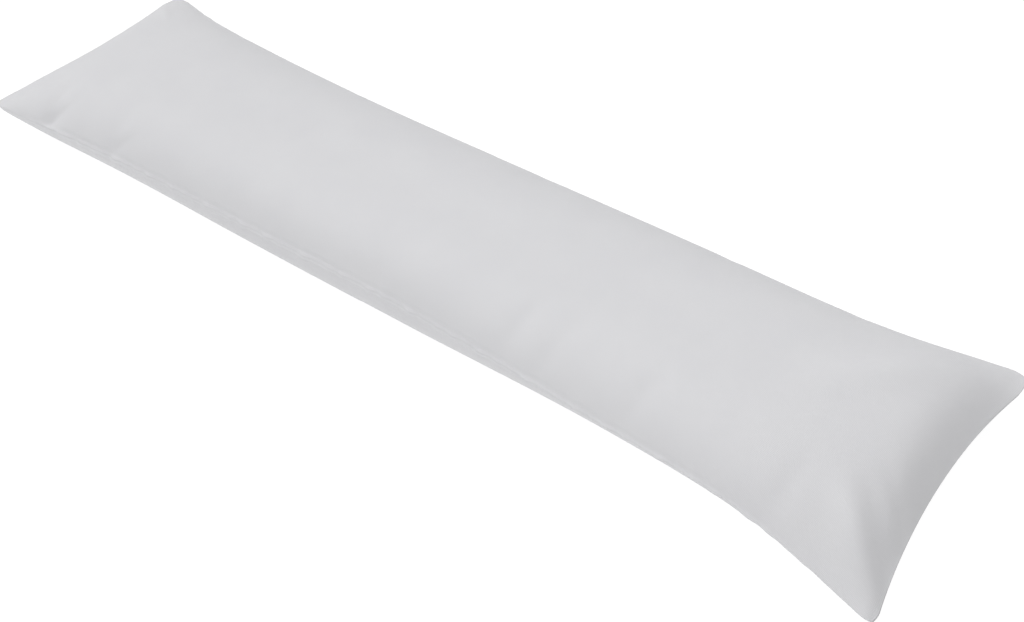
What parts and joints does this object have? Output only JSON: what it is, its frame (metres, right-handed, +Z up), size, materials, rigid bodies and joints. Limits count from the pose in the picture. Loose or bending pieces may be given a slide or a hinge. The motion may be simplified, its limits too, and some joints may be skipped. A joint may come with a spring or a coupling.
{
  "type": "body pillow",
  "caption": "Long narrow filled body pillow of plain grey cloth, sewn flat along its edges with pointed corners, lying on one face.",
  "frame": {"origin": "middle of the pillow's footprint, on the surface it lies on", "axes": "+X along the length towards the end with the drooping corner, +Y across the width, +Z up through the upper panel"},
  "size_m": [1.4457, 0.3454, 0.1217],
  "materials": {
    "cloth": "matt brushed plain weave, light grey"
  },
  "bodies": {
    "root": {"pillow": "cloth"}
  },
  "joints": []
}
